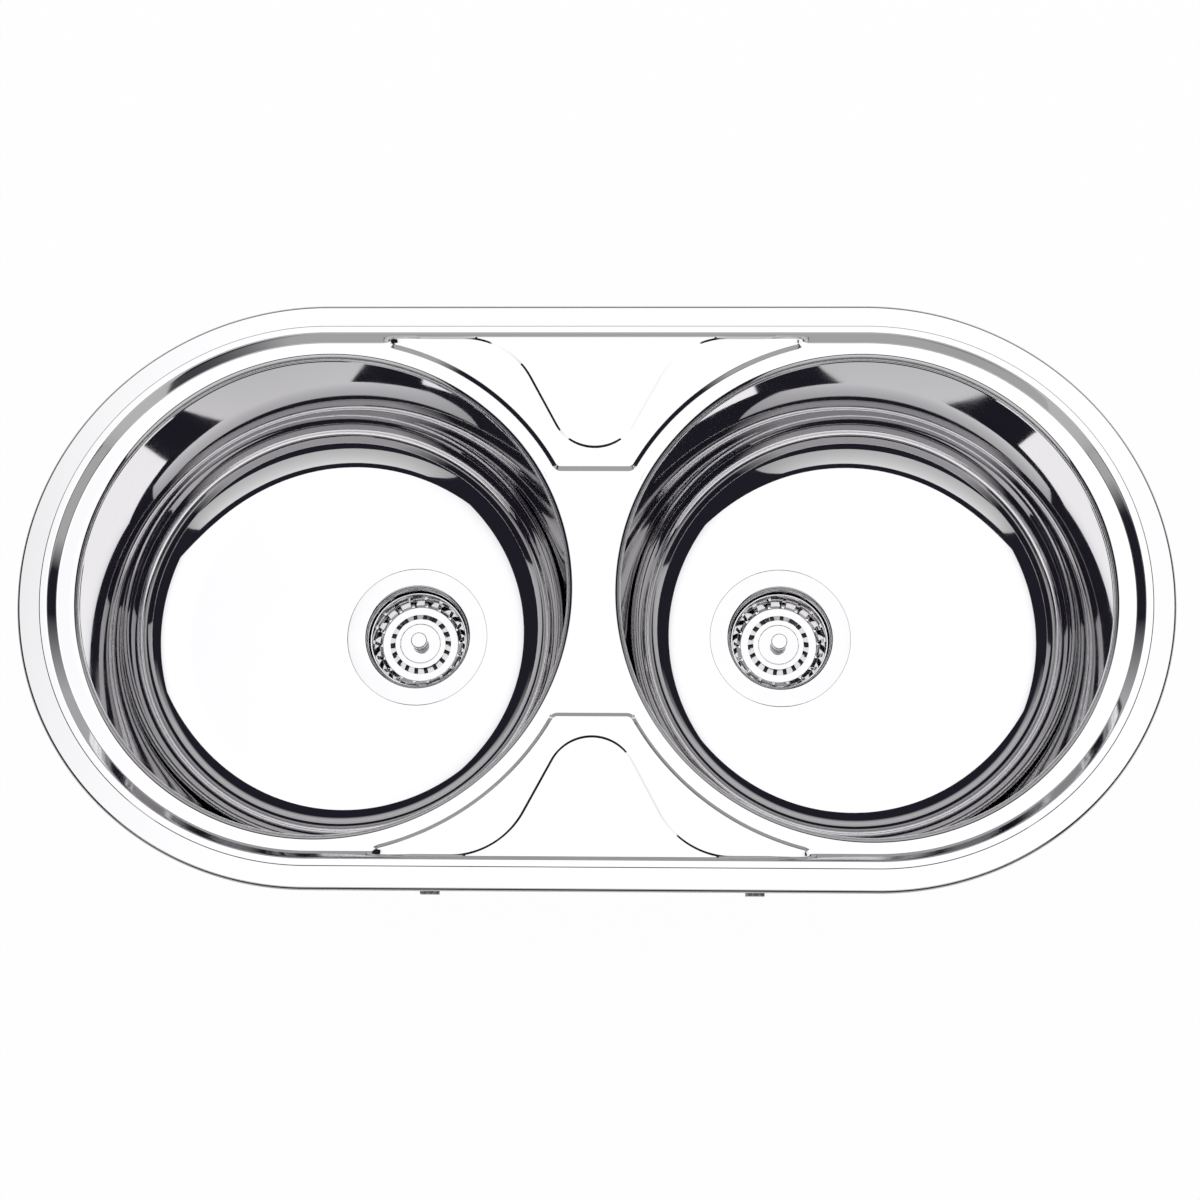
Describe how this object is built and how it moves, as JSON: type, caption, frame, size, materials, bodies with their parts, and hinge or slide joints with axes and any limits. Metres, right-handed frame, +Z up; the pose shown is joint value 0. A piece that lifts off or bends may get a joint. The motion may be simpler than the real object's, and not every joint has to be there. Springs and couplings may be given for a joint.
{
  "type": "double bowl kitchen sink",
  "caption": "Inset stainless kitchen sink with rounded ends, two round bowls, raised tap ledges, basket strainer wastes and worktop clamps.",
  "frame": {"origin": "middle of the sink on the plane of the worktop, which is the underside of the rim seal", "axes": "+X along the sink to its right, +Y to the back, +Z up out of the worktop"},
  "size_m": [0.86, 0.448, 0.2537],
  "materials": {
    "polished_steel": "mirror polished stainless steel",
    "plain_steel": "plain stainless steel",
    "zinc_plated_steel": "zinc plated",
    "white_plastic": "moulded satin",
    "seal_rubber": "closed-cell foam and soft rubber",
    "plug_rubber": "moulded rubber",
    "sound_pad": "damping sheet",
    "brass": "turned"
  },
  "bodies": {
    "sink": {"clamp_brackets": "zinc_plated_steel", "deck": "polished_steel", "left_body_seal": "seal_rubber", "left_bowl": "polished_steel", "left_brass_insert": "brass", "left_flange_gasket": "seal_rubber", "left_sound_pad": "sound_pad", "left_waste_body": "white_plastic", "left_waste_dish": "polished_steel", "left_waste_screw": "plain_steel", "right_body_seal": "seal_rubber", "right_bowl": "polished_steel", "right_brass_insert": "brass", "right_flange_gasket": "seal_rubber", "right_sound_pad": "sound_pad", "right_waste_body": "white_plastic", "right_waste_dish": "polished_steel", "right_waste_screw": "plain_steel", "rim_seal": "seal_rubber"},
    "left_basket": {"left_basket": "polished_steel", "left_basket_post": "polished_steel", "left_plug": "plug_rubber", "left_plug_retainer": "plain_steel", "left_post_nut": "plain_steel"},
    "right_basket": {"right_basket": "polished_steel", "right_basket_post": "polished_steel", "right_plug": "plug_rubber", "right_plug_retainer": "plain_steel", "right_post_nut": "plain_steel"},
    "clamp_1_arm": {"clamp_1_arm": "zinc_plated_steel"},
    "clamp_1_claw": {"clamp_1_claw": "zinc_plated_steel"},
    "clamp_1_screw": {"clamp_1_screw": "zinc_plated_steel"},
    "clamp_2_arm": {"clamp_2_arm": "zinc_plated_steel"},
    "clamp_2_claw": {"clamp_2_claw": "zinc_plated_steel"},
    "clamp_2_screw": {"clamp_2_screw": "zinc_plated_steel"},
    "clamp_3_arm": {"clamp_3_arm": "zinc_plated_steel"},
    "clamp_3_claw": {"clamp_3_claw": "zinc_plated_steel"},
    "clamp_3_screw": {"clamp_3_screw": "zinc_plated_steel"},
    "clamp_4_arm": {"clamp_4_arm": "zinc_plated_steel"},
    "clamp_4_claw": {"clamp_4_claw": "zinc_plated_steel"},
    "clamp_4_screw": {"clamp_4_screw": "zinc_plated_steel"},
    "clamp_5_arm": {"clamp_5_arm": "zinc_plated_steel"},
    "clamp_5_claw": {"clamp_5_claw": "zinc_plated_steel"},
    "clamp_5_screw": {"clamp_5_screw": "zinc_plated_steel"},
    "clamp_6_arm": {"clamp_6_arm": "zinc_plated_steel"},
    "clamp_6_claw": {"clamp_6_claw": "zinc_plated_steel"},
    "clamp_6_screw": {"clamp_6_screw": "zinc_plated_steel"},
    "clamp_7_arm": {"clamp_7_arm": "zinc_plated_steel"},
    "clamp_7_claw": {"clamp_7_claw": "zinc_plated_steel"},
    "clamp_7_screw": {"clamp_7_screw": "zinc_plated_steel"},
    "clamp_8_arm": {"clamp_8_arm": "zinc_plated_steel"},
    "clamp_8_claw": {"clamp_8_claw": "zinc_plated_steel"},
    "clamp_8_screw": {"clamp_8_screw": "zinc_plated_steel"}
  },
  "joints": [
    {"name": "left_basket_lift", "type": "slide", "parent": "sink", "child": "left_basket", "axis": [0, 0, 1], "range_m": [0, 0.21]},
    {"name": "right_basket_lift", "type": "slide", "parent": "sink", "child": "right_basket", "axis": [0, 0, 1], "range_m": [0, 0.21]},
    {"name": "clamp_1_swing", "type": "hinge", "parent": "sink", "child": "clamp_1_arm", "pos_m": [-0.12, 0.2045, -0.01], "axis": [0, 0, 1], "range_deg": [0, 90]},
    {"name": "clamp_1_rise", "type": "slide", "parent": "clamp_1_arm", "child": "clamp_1_claw", "axis": [0, 0, 1], "range_m": [0, 0.016]},
    {"name": "clamp_1_turn", "type": "hinge", "parent": "clamp_1_claw", "child": "clamp_1_screw", "pos_m": [-0.12, 0.2045, -0.04], "axis": [0, 0, 1], "range_deg": [0, 7200]},
    {"name": "clamp_2_swing", "type": "hinge", "parent": "sink", "child": "clamp_2_arm", "pos_m": [-0.12, -0.2045, -0.01], "axis": [0, 0, 1], "range_deg": [0, 90]},
    {"name": "clamp_2_rise", "type": "slide", "parent": "clamp_2_arm", "child": "clamp_2_claw", "axis": [0, 0, 1], "range_m": [0, 0.016]},
    {"name": "clamp_2_turn", "type": "hinge", "parent": "clamp_2_claw", "child": "clamp_2_screw", "pos_m": [-0.12, -0.2045, -0.04], "axis": [0, 0, 1], "range_deg": [0, 7200]},
    {"name": "clamp_3_swing", "type": "hinge", "parent": "sink", "child": "clamp_3_arm", "pos_m": [0.12, 0.2045, -0.01], "axis": [0, 0, 1], "range_deg": [0, 90]},
    {"name": "clamp_3_rise", "type": "slide", "parent": "clamp_3_arm", "child": "clamp_3_claw", "axis": [0, 0, 1], "range_m": [0, 0.016]},
    {"name": "clamp_3_turn", "type": "hinge", "parent": "clamp_3_claw", "child": "clamp_3_screw", "pos_m": [0.12, 0.2045, -0.04], "axis": [0, 0, 1], "range_deg": [0, 7200]},
    {"name": "clamp_4_swing", "type": "hinge", "parent": "sink", "child": "clamp_4_arm", "pos_m": [0.12, -0.2045, -0.01], "axis": [0, 0, 1], "range_deg": [0, 90]},
    {"name": "clamp_4_rise", "type": "slide", "parent": "clamp_4_arm", "child": "clamp_4_claw", "axis": [0, 0, 1], "range_m": [0, 0.016]},
    {"name": "clamp_4_turn", "type": "hinge", "parent": "clamp_4_claw", "child": "clamp_4_screw", "pos_m": [0.12, -0.2045, -0.04], "axis": [0, 0, 1], "range_deg": [0, 7200]},
    {"name": "clamp_5_swing", "type": "hinge", "parent": "sink", "child": "clamp_5_arm", "pos_m": [0.35797, 0.13684, -0.01], "axis": [0, 0, 1], "range_deg": [0, 90]},
    {"name": "clamp_5_rise", "type": "slide", "parent": "clamp_5_arm", "child": "clamp_5_claw", "axis": [0, 0, 1], "range_m": [0, 0.016]},
    {"name": "clamp_5_turn", "type": "hinge", "parent": "clamp_5_claw", "child": "clamp_5_screw", "pos_m": [0.35797, 0.13684, -0.04], "axis": [0, 0, 1], "range_deg": [0, 7200]},
    {"name": "clamp_6_swing", "type": "hinge", "parent": "sink", "child": "clamp_6_arm", "pos_m": [0.35797, -0.13684, -0.01], "axis": [0, 0, 1], "range_deg": [0, 90]},
    {"name": "clamp_6_rise", "type": "slide", "parent": "clamp_6_arm", "child": "clamp_6_claw", "axis": [0, 0, 1], "range_m": [0, 0.016]},
    {"name": "clamp_6_turn", "type": "hinge", "parent": "clamp_6_claw", "child": "clamp_6_screw", "pos_m": [0.35797, -0.13684, -0.04], "axis": [0, 0, 1], "range_deg": [0, 7200]},
    {"name": "clamp_7_swing", "type": "hinge", "parent": "sink", "child": "clamp_7_arm", "pos_m": [-0.35797, -0.13684, -0.01], "axis": [0, 0, 1], "range_deg": [0, 90]},
    {"name": "clamp_7_rise", "type": "slide", "parent": "clamp_7_arm", "child": "clamp_7_claw", "axis": [0, 0, 1], "range_m": [0, 0.016]},
    {"name": "clamp_7_turn", "type": "hinge", "parent": "clamp_7_claw", "child": "clamp_7_screw", "pos_m": [-0.35797, -0.13684, -0.04], "axis": [0, 0, 1], "range_deg": [0, 7200]},
    {"name": "clamp_8_swing", "type": "hinge", "parent": "sink", "child": "clamp_8_arm", "pos_m": [-0.35797, 0.13684, -0.01], "axis": [0, 0, 1], "range_deg": [0, 90]},
    {"name": "clamp_8_rise", "type": "slide", "parent": "clamp_8_arm", "child": "clamp_8_claw", "axis": [0, 0, 1], "range_m": [0, 0.016]},
    {"name": "clamp_8_turn", "type": "hinge", "parent": "clamp_8_claw", "child": "clamp_8_screw", "pos_m": [-0.35797, 0.13684, -0.04], "axis": [0, 0, 1], "range_deg": [0, 7200]}
  ],
  "couplings": [
    {"joint": "clamp_1_turn", "follows": "clamp_1_rise", "rad_per_m": 7854},
    {"joint": "clamp_2_turn", "follows": "clamp_2_rise", "rad_per_m": 7854},
    {"joint": "clamp_3_turn", "follows": "clamp_3_rise", "rad_per_m": 7854},
    {"joint": "clamp_4_turn", "follows": "clamp_4_rise", "rad_per_m": 7854},
    {"joint": "clamp_5_turn", "follows": "clamp_5_rise", "rad_per_m": 7854},
    {"joint": "clamp_6_turn", "follows": "clamp_6_rise", "rad_per_m": 7854},
    {"joint": "clamp_7_turn", "follows": "clamp_7_rise", "rad_per_m": 7854},
    {"joint": "clamp_8_turn", "follows": "clamp_8_rise", "rad_per_m": 7854}
  ]
}
